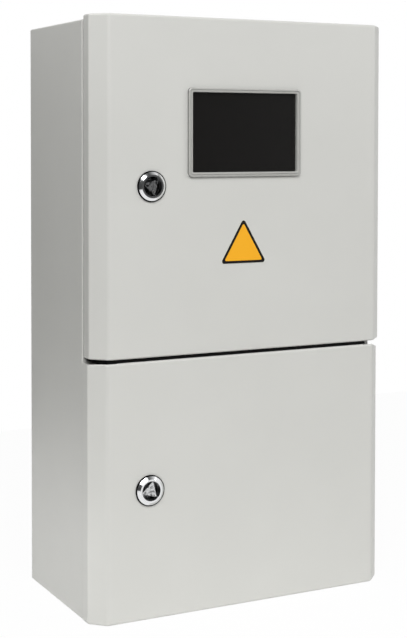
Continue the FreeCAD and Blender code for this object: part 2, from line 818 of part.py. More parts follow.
def hinge_arms(offset, low, high):
    """Door knuckles above and below each fixed one, joined to the inside of the return."""
    solids = []
    x = pin_x(offset)
    seat = offset + half_door - door_sheet
    for level in hinge_levels(low, high):
        for side in (-1, 1):
            z0 = min(level + side * arm_start, level + side * arm_end)
            z1 = z0 + arm_height
            knuckle = rod_z(x, pin_setback, knuckle_radius, z0, z1)
            web = block(x, seat, pin_setback - arm_web / 2, pin_setback + arm_web / 2, z0, z1)
            bore = rod_z(x, pin_setback, pin_radius + pin_running_clearance, z0 - cut_past, z1 + cut_past)
            solids.append(one_solid(knuckle.fuse(web).cut(bore)))
    return group(solids)


def hinge_pins(offset, low, high):
    """Headed pins through the knuckles."""
    solids = []
    x = pin_x(offset)
    for level in hinge_levels(low, high):
        head_seat = level + arm_end + knuckle_gap
        shaft = rod_z(x, pin_setback, pin_radius, level - arm_end - pin_tail, head_seat)
        head = rod_z(x, pin_setback, pin_head_radius, head_seat, head_seat + pin_head_height)
        solids.append(one_solid(shaft.fuse(head)))
    return group(solids)


# Window

def window_lens():
    """Clear moulding: a rim in front of the door, a collar through it and a sunk pane."""
    level = window_level
    rim_part = rounded_slab(window_x, level, window_width, window_height, window_corner, -window_proud, 0)
    front_edges = [edge for edge in rim_part.Edges
                   if all(abs(vertex.Y + window_proud) < 1e-4 for vertex in edge.Vertexes)]
    rim_part = rim_part.makeChamfer(window_rim_chamfer, front_edges)
    collar_width = window_width - 2 * window_overlap - 2 * window_fit
    collar_height = window_height - 2 * window_overlap - 2 * window_fit
    collar = rounded_slab(window_x, level, collar_width, collar_height, window_corner, 0, window_collar_depth)
    pane_width = window_width - 2 * window_rim
    pane_height = window_height - 2 * window_rim
    front_hollow = block(window_x - pane_width / 2, window_x + pane_width / 2,
                         -window_proud - cut_past, window_sink,
                         level - pane_height / 2, level + pane_height / 2)
    back_width = collar_width - 2 * window_collar
    back_height = collar_height - 2 * window_collar
    back_hollow = block(window_x - back_width / 2, window_x + back_width / 2, window_sink + window_glass,
                        window_collar_depth + cut_past, level - back_height / 2, level + back_height / 2)
    return one_solid(rim_part.fuse(collar).cut([front_hollow, back_hollow]))


def window_retainer():
    """Flat frame on the inside of the door, pressed round the window's collar."""
    level = window_level
    hole_width = window_width - 2 * window_overlap
    hole_height = window_height - 2 * window_overlap
    outer = rounded_slab(window_x, level, hole_width + 2 * retainer_width, hole_height + 2 * retainer_width,
                         window_corner, door_sheet, door_sheet + retainer_thickness)
    inner = rounded_slab(window_x, level, hole_width, hole_height, window_corner,
                         door_sheet - cut_past, door_sheet + retainer_thickness + cut_past)
    return outer.cut(inner)


def rounded_triangle(x, z, side, corner, turn, y0, y1):
    """A triangle about its middle with rounded corners, turned from point-up, made thick along the depth."""
    radius = side / math.sqrt(3)
    angles = [math.radians(90 + turn + 120 * corner_index) for corner_index in range(3)]
    points = [(x + radius * math.cos(angle), z + radius * math.sin(angle)) for angle in angles]
    solid = prism_y(points, y0, y1)
    return solid.makeFillet(corner, edges_along(solid, Vector(0, 1, 0)))


def triangle_sticker():
    """Thin triangular sticker, point up."""
    middle = sticker_top - sticker_side / math.sqrt(3)
    return rounded_triangle(sticker_x, middle, sticker_side, sticker_corner, 0, -sticker_thickness, 0)


# Locks

def lock_housing(x, z):
    """Chromed housing: a sloped bezel outside, a barrel through the door and a stepped bore."""
    profile = [(socket_radius, -bezel_proud), (bezel_face_radius, -bezel_proud), (bezel_radius, -bezel_edge),
               (bezel_radius, -lock_seal_thickness), (barrel_radius, -lock_seal_thickness),
               (barrel_radius, flange_back),
               (spindle_radius + rotor_running_clearance, flange_back),
               (spindle_radius + rotor_running_clearance, socket_depth), (socket_radius, socket_depth)]
    loop = [Vector(x + radius, y, z) for radius, y in profile]
    face = Part.Face(Part.makePolygon(loop + loop[:1]))
    return face.revolve(Vector(x, 0, z), Vector(0, 1, 0), 360)


def lock_seal(x, z):
    """Rubber ring that keeps water out between a lock's bezel and the door."""
    ring = rod_y(x, z, bezel_radius + lock_seal_reach, -lock_seal_thickness, 0)
    return ring.cut(rod_y(x, z, barrel_radius, -lock_seal_thickness - cut_past, cut_past))


def lock_nut(x, z):
    """Large nut that clamps the barrel against the inside of the door."""
    end = door_sheet + lock_nut_height
    nut = hexagon_y(x, z, lock_nut_flats, door_sheet, end)
    return nut.cut(rod_y(x, z, barrel_radius + lock_nut_gap, door_sheet - cut_past, end + cut_past))


def lock_insert(x, z, turn):
    """Turning part: a triangular driver on a disc, and a spindle with a square end."""
    disc = rod_y(x, z, socket_radius - rotor_running_clearance, rotor_face, socket_depth - rotor_end_gap)
    driver = rounded_triangle(x, z, key_side, key_corner, turn, key_back - bezel_proud, rotor_face)
    spindle = rod_y(x, z, spindle_radius, socket_depth - rotor_end_gap, cam_front)
    half = cam_square / 2
    square = block(x - half, x + half, cam_front, cam_front + cam_thickness, z - half, z + half)
    square = square.common(rod_y(x, z, spindle_radius, cam_front, cam_front + cam_thickness))
    thread = rod_y(x, z, cam_thread_radius, cam_front + cam_thickness - cam_thread_length,
                   cam_front + cam_thickness + cut_past)
    return one_solid(disc.fuse([driver, spindle, square]).cut(thread))


def lock_cam(x, z):
    """Flat cam that hangs down when released and reaches behind the flange when turned."""
    back = cam_front + cam_thickness
    half = cam_width / 2
    tip = cam_tip_width / 2
    end = cam_length - tip
    arm = prism_y([(x - half, z), (x + half, z), (x + tip, z - end), (x - tip, z - end)], cam_front, back)
    plate = arm.fuse([rod_y(x, z, half, cam_front, back), rod_y(x, z - end, tip, cam_front, back)])
    side = cam_square / 2
    square = block(x - side, x + side, cam_front - cut_past, back + cut_past, z - side, z + side)
    square = square.common(rod_y(x, z, spindle_radius, cam_front - cut_past, back + cut_past))
    return one_solid(plate.cut(square))


def cam_screw(x, z):
    """Hexagon screw and washer that hold the cam on its spindle."""
    seat = cam_front + cam_thickness
    washer_end = seat + cam_washer_height
    washer = rod_y(x, z, cam_washer_radius, seat, washer_end)
    head = hexagon_y(x, z, 2 * cam_screw_radius, washer_end, washer_end + cam_screw_height)
    thread = rod_y(x, z, cam_thread_radius, seat - cam_thread_length, seat)
    return one_solid(washer.fuse([head, thread]))


def save(name, shape):
    """Move a finished piece to the part's own origin and write it."""
    moved = shape.copy()
    moved.translate(Vector(0, -depth_middle, 0))
    moved.exportStep("parts/" + name + ".step")


def build_box():
    """The welded box and what is fixed in its walls."""
    save("enclosure_shell", enclosure_shell())
    save("front_flange", front_flange())
    save("upper_rim", rim(opening_upper_low, opening_top))
    save("lower_rim", rim(opening_bottom, opening_lower_high))
    save("crossbar", crossbar())
    save("door_divider", door_divider())
    save("partition", partition())
    save("partition_trim", partition_trim())
    save("bottom_plugs", bottom_plugs())
    save("top_plugs", top_plugs())
    save("earth_studs", earth_studs())
    save("earth_nuts", earth_nuts())


def build_fittings():
    """What is mounted inside the two compartments."""
    save("meter_plate", meter_plate())
    save("meter_plate_standoffs", plate_standoffs())
    save("meter_plate_screws", plate_screws())
    save("device_rail", device_rail())
    save("device_rail_brackets", rail_brackets())
    save("device_rail_screws", rail_screws())
    save("inner_cover", inner_cover())
    save("inner_cover_posts", cover_posts())
    save("inner_cover_nuts", cover_nuts())
    for name, level in (("neutral", neutral_level), ("earth", earth_level)):
        save(name + "_bar", bus_bar(level))
        save(name + "_bar_screws", bar_screw_heads(level))
        save(name + "_bar_holders", bar_holders(level))


def build_door(name, offset, low, high, panel, opening):
    """A door with its gasket, stud and hinges."""
    save(name + "_door_panel", panel)
    save(name + "_door_gasket", gasket(offset, opening[0], opening[1]))
    save(name + "_door_stud", door_stud(low))
    save(name + "_hinge_leaves", hinge_leaves(offset, low, high))
    save(name + "_hinge_arms", hinge_arms(offset, low, high))
    save(name + "_hinge_pins", hinge_pins(offset, low, high))


def build_lock(name, x, z, turn):
    """A lock's fixed and turning pieces."""
    save(name + "_lock_housing", lock_housing(x, z))
    save(name + "_lock_seal", lock_seal(x, z))
    save(name + "_lock_nut", lock_nut(x, z))
    save(name + "_lock_insert", lock_insert(x, z, turn))
    save(name + "_lock_cam", lock_cam(x, z))
    save(name + "_cam_screw", cam_screw(x, z))


os.makedirs("parts", exist_ok=True)
build_box()
build_fittings()
build_door("upper", upper_door_offset, upper_low, doors_top, upper_door_panel(),
           (opening_upper_low, opening_top))
build_door("lower", lower_door_offset, doors_bottom, lower_high, lower_door_panel(),
           (opening_bottom, opening_lower_high))
save("window_lens", window_lens())
save("window_retainer", window_retainer())
save("triangle_sticker", triangle_sticker())
build_lock("upper", upper_lock_x, upper_lock_level, upper_key_turn)
build_lock("lower", lower_lock_x, lower_lock_level, lower_key_turn)
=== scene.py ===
# %% [markdown]
# # An electric meter box
# This lesson dresses the solids of a wall-mounted steel meter box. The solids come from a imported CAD
# model, and every one stays where it is. Blender adds what CAD can't say: how powder paint, zinc, chrome,
# foam and clear plastic look under soft studio light. Lengths are in metres, and `mm` turns millimetres
# into metres, so that a pattern's size can be read as the real one.

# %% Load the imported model
import math
import bpy
from mathutils import Matrix, Vector


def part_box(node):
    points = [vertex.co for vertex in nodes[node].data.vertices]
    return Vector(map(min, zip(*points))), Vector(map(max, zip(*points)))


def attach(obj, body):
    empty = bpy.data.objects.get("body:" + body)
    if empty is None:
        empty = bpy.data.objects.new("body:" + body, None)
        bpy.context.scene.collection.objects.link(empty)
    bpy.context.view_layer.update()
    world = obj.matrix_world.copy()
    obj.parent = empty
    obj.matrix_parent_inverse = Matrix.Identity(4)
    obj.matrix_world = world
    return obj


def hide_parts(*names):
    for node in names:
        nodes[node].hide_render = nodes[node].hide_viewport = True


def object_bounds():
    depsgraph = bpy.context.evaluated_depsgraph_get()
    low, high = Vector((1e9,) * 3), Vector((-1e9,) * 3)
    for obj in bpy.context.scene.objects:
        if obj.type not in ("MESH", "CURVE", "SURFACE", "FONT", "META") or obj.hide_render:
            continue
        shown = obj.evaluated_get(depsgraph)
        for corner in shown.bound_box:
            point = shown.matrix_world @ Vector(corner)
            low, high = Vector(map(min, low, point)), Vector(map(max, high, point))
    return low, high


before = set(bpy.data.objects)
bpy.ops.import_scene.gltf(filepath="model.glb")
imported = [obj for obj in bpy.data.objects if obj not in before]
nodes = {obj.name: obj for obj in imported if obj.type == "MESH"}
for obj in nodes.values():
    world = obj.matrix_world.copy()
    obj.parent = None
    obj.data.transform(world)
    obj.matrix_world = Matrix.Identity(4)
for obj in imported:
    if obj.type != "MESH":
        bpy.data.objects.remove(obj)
mm = 0.001
cad_low, cad_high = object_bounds()
print("solids:", len(nodes), "height in mm:", round((cad_high.z - cad_low.z) / mm, 1))

# %% [markdown]
# ## Colour values
# Colours are easiest to read as the hex values of a paint card, but light is added up in linear values.
# One function turns the first into the second, and nothing else in the lesson converts a colour.

# %% Turn a hex colour into linear values
def paint_chip(hex_value):
    """Linear red, green, blue and alpha from an sRGB hex value."""
    parts = [int(hex_value[start:start + 2], 16) / 255 for start in (0, 2, 4)]
    linear = [part / 12.92 if part <= 0.04045 else ((part + 0.055) / 1.055) ** 2.4 for part in parts]
    return (*linear, 1.0)


print("light grey paint, linear:", [round(part, 3) for part in paint_chip("D3D3CE")[:3]])

# %% [markdown]
# ## Building a finish
# A finish is a small tree of shader nodes. One function adds a node, sets its options, and fills its
# sockets: what comes from another node is linked, and any other value is set on the socket itself. So a
# roughness that is the same everywhere stays a plain number on the shader.
#
# Every pattern starts from the position on the part in metres. A noise whose scale is 1 / size then has
# patches about that size, and the sizes below can be read as real ones.

# %% Add one shader node with its settings and links
def add_node(tree, kind, sockets=None, **options):
    """A node of one kind, with its sockets filled or linked, by name or by number."""
    node = tree.nodes.new("ShaderNode" + kind)
    for option, value in options.items():
        setattr(node, option, value)
    for socket, value in (sockets or {}).items():
        if isinstance(value, bpy.types.NodeSocket):
            tree.links.new(value, node.inputs[socket])
        else:
            node.inputs[socket].default_value = value
    return node


def new_finish(name):
    """An empty material, its tree, and the position on the part in metres."""
    finish = bpy.data.materials.new(name)
    finish.use_nodes = True
    tree = finish.node_tree
    tree.nodes.clear()
    return finish, tree, add_node(tree, "TexCoord").outputs["Object"]


print("one function adds nodes, one starts a finish")

# %% [markdown]
# ## Powder-coated steel
# The box and its doors are folded steel sheet, sprayed with polyester powder and baked. The powder flows
# into a satin skin with a faint orange peel, hills one to two millimetres apart and a hundredth of a
# millimetre high. What the eye gets is a wide, soft sheen on a warm light grey. The hills could be
# modelled, but a bump is right for something that never changes the outline. A second, wider pattern moves
# the colour by about two percent, as paint of uneven thickness does.

# %% Powder coat for the box, the doors and the inner cover
PEEL = 1.6 * mm             # hills of the orange peel
PEEL_HEIGHT = 0.012 * mm
PAINT_CLOUD = 90 * mm       # wide, faint changes of the paint's thickness
PAINT_PATCH = 9 * mm        # patches that are a little glossier or duller than the rest
PATCH_GLOSS = 0.04          # by how much a patch moves the roughness, up or down
NOISE_LOW, NOISE_HIGH = 0.35, 0.65      # most of a noise pattern lies between these values


def powder_coat(name, light, dark, satin):
    """Polyester powder coat: satin, with a fine orange peel."""
    finish, tree, where = new_finish(name)
    cloud = add_node(tree, "TexNoise", {"Vector": where, "Scale": 1 / PAINT_CLOUD})
    share = add_node(tree, "MapRange", {"Value": cloud.outputs["Fac"], "From Min": NOISE_LOW,
                                        "From Max": NOISE_HIGH})
    colour = add_node(tree, "Mix", {0: share.outputs["Result"], 6: paint_chip(dark), 7: paint_chip(light)},
                      data_type='RGBA')
    patch = add_node(tree, "TexNoise", {"Vector": where, "Scale": 1 / PAINT_PATCH})
    gloss = add_node(tree, "MapRange", {"Value": patch.outputs["Fac"], "To Min": satin - PATCH_GLOSS,
                                        "To Max": satin + PATCH_GLOSS})
    hills = add_node(tree, "TexNoise", {"Vector": where, "Scale": 1 / PEEL, "Detail": 1.0})
    peel = add_node(tree, "Bump", {"Height": hills.outputs["Fac"], "Distance": PEEL_HEIGHT})
    paint = add_node(tree, "BsdfPrincipled", {"Base Color": colour.outputs[2], "IOR": 1.5,
                                              "Roughness": gloss.outputs["Result"],
                                              "Normal": peel.outputs["Normal"]})
    add_node(tree, "OutputMaterial", {"Surface": paint.outputs["BSDF"]})
    return finish


door_paint = powder_coat("powder_coat_doors", "D4D4D0", "D2D2CE", 0.42)
body_paint = powder_coat("powder_coat_box", "D4D4D0", "D2D2CE", 0.42)
cover_paint = powder_coat("powder_coat_inner_cover", "D3D3CF", "D1D1CD", 0.46)
print("paints:", door_paint.name, body_paint.name, cover_paint.name)

# %% [markdown]
# ## Zinc on steel
# Screws, nuts, studs and cams are bright zinc-plated steel: a cool grey metal, cloudy on a scale of a few
# millimetres, that blurs what it reflects. The meter plate and the rail are galvanised sheet. There the zinc
# has frozen into crystals, and what the eye gets is a patchwork of slightly lighter and darker greys. The
# crystals come from a cell pattern whose edges are bent by noise, because real ones aren't straight.

# %% Zinc plating and galvanised sheet
PLATING_CLOUD = 2.5 * mm    # cloudiness of bright zinc on small parts
PLATING_HEIGHT = 0.01 * mm
SPANGLE = 7 * mm            # crystals on galvanised sheet


def zinc_plating(name):
    """Bright zinc on small steel parts."""
    finish, tree, where = new_finish(name)
    cloud = add_node(tree, "TexNoise", {"Vector": where, "Scale": 1 / PLATING_CLOUD, "Detail": 3.0})
    colour = add_node(tree, "Mix", {0: cloud.outputs["Fac"], 6: paint_chip("B9BCC0"),
                                    7: paint_chip("CDCFD0")}, data_type='RGBA')
    blur = add_node(tree, "MapRange", {"Value": cloud.outputs["Fac"], "To Min": 0.26, "To Max": 0.4})
    grain = add_node(tree, "Bump", {"Height": cloud.outputs["Fac"], "Distance": PLATING_HEIGHT})
    metal = add_node(tree, "BsdfPrincipled", {"Metallic": 1.0, "Base Color": colour.outputs[2],
                                              "Roughness": blur.outputs["Result"],
                                              "Normal": grain.outputs["Normal"]})
    add_node(tree, "OutputMaterial", {"Surface": metal.outputs["BSDF"]})
    return finish


def galvanised_sheet(name):
    """Hot-dip galvanised sheet with frozen crystals."""
    finish, tree, where = new_finish(name)
    noise = add_node(tree, "TexNoise", {"Vector": where, "Scale": 1 / (2 * SPANGLE)})
    bent = add_node(tree, "VectorMath", {0: noise.outputs["Color"], 1: (SPANGLE / 2,) * 3, 2: where},
                    operation='MULTIPLY_ADD')
    crystals = add_node(tree, "TexVoronoi", {"Vector": bent.outputs["Vector"], "Scale": 1 / SPANGLE})
    tone = add_node(tree, "SeparateColor", {"Color": crystals.outputs["Color"]})
    colour = add_node(tree, "Mix", {0: tone.outputs["Red"], 6: paint_chip("AEB1B4"),
                                    7: paint_chip("C6C8CA")}, data_type='RGBA')
    blur = add_node(tree, "MapRange", {"Value": tone.outputs["Red"], "To Min": 0.32, "To Max": 0.48})
    metal = add_node(tree, "BsdfPrincipled", {"Metallic": 1.0, "Base Color": colour.outputs[2],
                                              "Roughness": blur.outputs["Result"]})
    add_node(tree, "OutputMaterial", {"Surface": metal.outputs["BSDF"]})
    return finish


bright_zinc = zinc_plating("bright_zinc")
sheet_zinc = galvanised_sheet("galvanised_sheet")
print("zinc finishes:", bright_zinc.name, sheet_zinc.name)

# %% [markdown]
# ## Chrome and brass
# The locks are zinc castings, polished and plated with bright chrome. The eye gets an almost clear mirror,
# very slightly wavy, as a polished casting is. Down in the key's recess the finish turns rougher, and its
# colour is darkened with the distance behind the door's face: painted shade of the recess. A second material
# on the faces inside would do too, but the shade deepens gradually. The driver in the recess, which the key
# turns, is an unpolished casting: dark, dented, and scraped bright in places by the key, with fewer bright
# places deeper in the recess, which is the same painted shade. The upper driver gets fewer bright places
# than the lower one: painted shade on one copy of the casting and painted light on the other.
#
# The neutral and earth bars are drawn brass. Drawing leaves fine lines along the bar, so that noise is
# stretched along one axis before it is used, and the shine is wide across the lines. The bars run along X.

# %% Chrome plating and drawn brass
CASTING_WAVE = 2.2 * mm     # slight waviness under the chrome
CASTING_HEIGHT = 0.012 * mm
SCRAPE = 2.6 * mm           # bright and dark patches on the key's driver
DENT_DEPTH = 0.3 * mm
DRAWN_LINE = 0.35 * mm      # real lines are about 0.05 mm wide, and wouldn't show
DRAWN_LENGTH = 30 * mm
DRAWN_DEPTH = 0.008 * mm
DOORS_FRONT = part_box("upper_door_panel")[0].y
RECESS_SHADE_FROM = 0.5 * mm        # full chrome as far back as this, measured from the doors' front face; the recess's painted shade and dullness begin here
RECESS_SHADE_FULL = 3.5 * mm        # full painted shade of the recess, and dull metal, from here on
RECESS_DULLNESS = 0.3         # roughness that the recess adds at its full depth
SCRAPES_KEPT_IN_SHADE = 0.5          # share of the driver's bright scrapes kept deep in the recess; the rest is painted shade


def chrome_plating(name):
    """Bright chrome on a polished casting, rougher and darkened by painted shade inside the recess."""
    finish, tree, where = new_finish(name)
    place = add_node(tree, "SeparateXYZ", {"Vector": where})
    # painted shade of the recess: it darkens the colour towards 2E2E2F with the depth behind the doors'
    # front, and adds roughness
    recess_shade_and_dullness = add_node(tree, "MapRange", {"Value": place.outputs["Y"], "From Min": DOORS_FRONT + RECESS_SHADE_FROM,
                                       "From Max": DOORS_FRONT + RECESS_SHADE_FULL})
    colour = add_node(tree, "Mix", {0: recess_shade_and_dullness.outputs["Result"], 6: paint_chip("E6E7E8"),
                                    7: paint_chip("2E2E2F")}, data_type='RGBA')
    wave = add_node(tree, "TexNoise", {"Vector": where, "Scale": 1 / CASTING_WAVE})
    blur = add_node(tree, "MapRange", {"Value": wave.outputs["Fac"], "To Min": 0.1, "To Max": 0.18})
    dull = add_node(tree, "Math", {0: recess_shade_and_dullness.outputs["Result"], 1: RECESS_DULLNESS,
                                   2: blur.outputs["Result"]}, operation='MULTIPLY_ADD')
    bend = add_node(tree, "Bump", {"Height": wave.outputs["Fac"], "Distance": CASTING_HEIGHT})
    metal = add_node(tree, "BsdfPrincipled", {"Metallic": 1.0, "Base Color": colour.outputs[2],
                                              "Roughness": dull.outputs["Value"],
                                              "Normal": bend.outputs["Normal"]})
    add_node(tree, "OutputMaterial", {"Surface": metal.outputs["BSDF"]})
    return finish


def drawn_brass(name):
    """Brass bar with drawing lines along X."""
    finish, tree, where = new_finish(name)
    along = add_node(tree, "Mapping", {"Vector": where, "Scale": (DRAWN_LINE / DRAWN_LENGTH, 1, 1)})
    lines = add_node(tree, "TexNoise", {"Vector": along.outputs["Vector"], "Scale": 1 / DRAWN_LINE,
                                        "Detail": 3.0})
    colour = add_node(tree, "Mix", {0: lines.outputs["Fac"], 6: paint_chip("C09A4C"),
                                    7: paint_chip("DDBB6C")}, data_type='RGBA')
    blur = add_node(tree, "MapRange", {"Value": lines.outputs["Fac"], "To Min": 0.22, "To Max": 0.38})
    scratch = add_node(tree, "Bump", {"Height": lines.outputs["Fac"], "Distance": DRAWN_DEPTH})
    metal = add_node(tree, "BsdfPrincipled", {"Metallic": 1.0, "Base Color": colour.outputs[2],
                                              "Roughness": blur.outputs["Result"],
                                              "Normal": scratch.outputs["Normal"]})
    add_node(tree, "OutputMaterial", {"Surface": metal.outputs["BSDF"]})
    return finish


def worn_and_shaded_casting(name, dark_below, bright_above):
    """Rough casting of the key's driver, scraped bright in places, with fewer of them deeper in the recess
    as painted shade.

    The noise is dark metal below dark_below, and bright metal above bright_above.
    """
    finish, tree, where = new_finish(name)
    scrape = add_node(tree, "TexNoise", {"Vector": where, "Scale": 1 / SCRAPE, "Detail": 3.0})
    bright = add_node(tree, "MapRange", {"Value": scrape.outputs["Fac"], "From Min": dark_below,
                                         "From Max": bright_above})
    place = add_node(tree, "SeparateXYZ", {"Vector": where})
    # painted shade: fewer bright scrapes with the depth in the recess
    unshaded_share = add_node(tree, "MapRange", {"Value": place.outputs["Y"], "From Min": DOORS_FRONT + RECESS_SHADE_FROM,
                                        "From Max": DOORS_FRONT + RECESS_SHADE_FULL, "To Min": 1.0,
                                        "To Max": SCRAPES_KEPT_IN_SHADE})
    scraped = add_node(tree, "Math", {0: bright.outputs["Result"], 1: unshaded_share.outputs["Result"]},
                       operation='MULTIPLY')
    colour = add_node(tree, "Mix", {0: scraped.outputs["Value"], 6: paint_chip("1B1B1C"),
                                    7: paint_chip("D4D5D6")}, data_type='RGBA')
    blur = add_node(tree, "MapRange", {"Value": scraped.outputs["Value"], "To Min": 0.5, "To Max": 0.2})
    dents = add_node(tree, "Bump", {"Height": scrape.outputs["Fac"], "Distance": DENT_DEPTH})
    metal = add_node(tree, "BsdfPrincipled", {"Metallic": 1.0, "Base Color": colour.outputs[2],
                                              "Roughness": blur.outputs["Result"],
                                              "Normal": dents.outputs["Normal"]})
    add_node(tree, "OutputMaterial", {"Surface": metal.outputs["BSDF"]})
    return finish


chrome = chrome_plating("bright_chrome")
# the upper driver gets fewer bright patches than the lower one: painted shade on one copy and painted light
# on the other
upper_driver = worn_and_shaded_casting("scraped_driver_painted_shade", dark_below=0.4, bright_above=0.6)
lower_driver = worn_and_shaded_casting("scraped_driver_painted_light", dark_below=0.3, bright_above=0.52)
brass = drawn_brass("drawn_brass")
print("bright metals:", chrome.name, upper_driver.name, lower_driver.name, brass.name)

# %% [markdown]
# ## Foam, rubber and moulded plastic
# The door gaskets are black closed-cell foam, whose skin shows cells about a millimetre wide and gives
# hardly any shine. Plugs and edging are moulded rubber, dull and very slightly mottled. The bar holders are
# polyamide, blue for neutral and grey for earth, and the window's retainer is dark ABS. They come from a
# spark-eroded mould, so their shine is broken up by a fine grain. Rubber and plastics share one recipe, and
# differ in the grain's size and depth and in how dull they are.

# %% Foam, rubber and plastics
FOAM_CELL = 0.9 * mm
FOAM_PIT = 0.25 * mm        # depth of a cell that is open at the skin
RUBBER_GRAIN = 0.5 * mm
RUBBER_DEPTH = 0.03 * mm
MOULD_GRAIN = 0.35 * mm
MOULD_DEPTH = 0.01 * mm
GRAINS_PER_CLOUD = 20       # faint clouds of colour in a moulding are this many grains wide


def cell_foam(name):
    """Black closed-cell foam."""
    finish, tree, where = new_finish(name)
    cells = add_node(tree, "TexVoronoi", {"Vector": where, "Scale": 1 / FOAM_CELL})
    # painted shade: the colour is darker at the bottom of each cell's pit, where the bump is lowest
    colour = add_node(tree, "Mix", {0: cells.outputs["Distance"], 6: paint_chip("121212"),
                                    7: paint_chip("262626")}, data_type='RGBA')
    dull = add_node(tree, "MapRange", {"Value": cells.outputs["Distance"], "To Min": 0.82, "To Max": 0.95})
    pits = add_node(tree, "Bump", {"Height": cells.outputs["Distance"], "Distance": FOAM_PIT})
    rubber = add_node(tree, "BsdfPrincipled", {"Base Color": colour.outputs[2], "IOR": 1.45,
                                               "Roughness": dull.outputs["Result"],
                                               "Normal": pits.outputs["Normal"]})
    add_node(tree, "OutputMaterial", {"Surface": rubber.outputs["BSDF"]})
    return finish


def moulded(name, light, dark, grain, depth, shiny, dull, shine=0.5):
    """Plastic or rubber from a mould with a fine, even grain.

    shiny and dull are the roughness of the grain's lows and highs; a shine of 0.5 is that of its IOR.
    """
    finish, tree, where = new_finish(name)
    texture = add_node(tree, "TexNoise", {"Vector": where, "Scale": 1 / grain})
    cloud = add_node(tree, "TexNoise", {"Vector": where, "Scale": 1 / (GRAINS_PER_CLOUD * grain)})
    colour = add_node(tree, "Mix", {0: cloud.outputs["Fac"], 6: paint_chip(dark), 7: paint_chip(light)},
                      data_type='RGBA')
    blur = add_node(tree, "MapRange", {"Value": texture.outputs["Fac"], "To Min": shiny, "To Max": dull})
    relief = add_node(tree, "Bump", {"Height": texture.outputs["Fac"], "Distance": depth})
    plastic = add_node(tree, "BsdfPrincipled", {"Base Color": colour.outputs[2], "IOR": 1.5,
                                                "Specular IOR Level": shine,
                                                "Roughness": blur.outputs["Result"],
                                                "Normal": relief.outputs["Normal"]})
    add_node(tree, "OutputMaterial", {"Surface": plastic.outputs["BSDF"]})
    return finish


foam = cell_foam("black_cell_foam")
plug_rubber = moulded("moulded_rubber", "3A3B3C", "303132", RUBBER_GRAIN, RUBBER_DEPTH, 0.62, 0.78)
# painted shade: near-black rubber for the door divider and the lock seals, so that the door seam and the
# ring round each lock read as deep shade
seam_shade_rubber = moulded("black_rubber_painted_shade", "070707", "040404", RUBBER_GRAIN, RUBBER_DEPTH, 0.7, 0.85,
                      shine=0.1)
retainer_abs = moulded("dark_abs", "3B3D40", "34363A", MOULD_GRAIN, MOULD_DEPTH, 0.42, 0.52)
neutral_polyamide = moulded("blue_polyamide", "2B5FAE", "2757A2", MOULD_GRAIN, MOULD_DEPTH, 0.4, 0.5)
earth_polyamide = moulded("grey_polyamide", "6E7276", "66696D", MOULD_GRAIN, MOULD_DEPTH, 0.4, 0.5)
print("soft and moulded finishes:", foam.name, plug_rubber.name, retainer_abs.name)

# %% [markdown]
# ## Giving each solid its finish
# Each solid of the model already has one material slot. A table says which finish goes on which solid, in
# the order of the assembly: the box, what is inside, the doors and the locks.

# %% Assign the finishes
FINISHES = [
    (body_paint, ["enclosure_shell", "front_flange", "upper_rim", "lower_rim", "crossbar", "partition",
                  "upper_hinge_leaves", "lower_hinge_leaves"]),
    (door_paint, ["upper_door_panel", "lower_door_panel", "upper_hinge_arms", "lower_hinge_arms"]),
    (cover_paint, ["inner_cover"]),
    (sheet_zinc, ["meter_plate", "device_rail", "device_rail_brackets"]),
    (bright_zinc, ["meter_plate_standoffs", "meter_plate_screws", "device_rail_screws", "inner_cover_posts",
                   "inner_cover_nuts", "earth_studs", "earth_nuts", "upper_door_stud", "lower_door_stud",
                   "upper_hinge_pins", "lower_hinge_pins", "upper_lock_nut", "lower_lock_nut",
                   "upper_lock_cam", "lower_lock_cam", "upper_cam_screw", "lower_cam_screw",
                   "neutral_bar_screws", "earth_bar_screws"]),
    (chrome, ["upper_lock_housing", "lower_lock_housing"]),
    (upper_driver, ["upper_lock_insert"]),
    (lower_driver, ["lower_lock_insert"]),
    (brass, ["neutral_bar", "earth_bar"]),
    (neutral_polyamide, ["neutral_bar_holders"]),
    (earth_polyamide, ["earth_bar_holders"]),
    (foam, ["upper_door_gasket", "lower_door_gasket"]),
    (plug_rubber, ["bottom_plugs", "top_plugs", "partition_trim"]),
    (seam_shade_rubber, ["door_divider", "upper_lock_seal", "lower_lock_seal"]),
    (retainer_abs, ["window_retainer"]),
]


def wear(piece, finish):
    """Puts one finish on the whole of a piece."""
    piece.data.materials.clear()
    piece.data.materials.append(finish)


for finish, names in FINISHES:
    for name in names:
        wear(nodes[name], finish)
print("solids with a finish:", sum(len(names) for _, names in FINISHES), "of", len(nodes))

# %% [markdown]
# ## Skins from rows of points
# The window and the sticker are made from outlines: rows of points that all have the same number of
# points. Bridging each outline to the next gives a skin, and the ends are closed with a face or joined to
# each other. It is what a loft does in CAD. Primitive shapes with modifiers could do it too, but an
# outline for each step of the section says exactly where every rounded edge begins and ends.

# %% Outlines, and the skin between them
SHARP_FROM = 35             # degrees; an edge that bends less than this is shaded smooth


def rounded_outline(corners, radius, steps=6):
    """Points round a convex outline, counter-clockwise in X and Z, with its corners rounded."""
    points = []
    for index, corner in enumerate(corners):
        before = (corners[index - 1] - corner).normalized()
        after = (corners[(index + 1) % len(corners)] - corner).normalized()
        half = before.angle(after) / 2
        centre = corner + (before + after).normalized() * radius / math.sin(half)
        first = corner + before * radius / math.tan(half) - centre
        sweep = math.pi - 2 * half
        for step in range(steps + 1):
            points.append(centre + Matrix.Rotation(sweep * step / steps, 2) @ first)
    return points


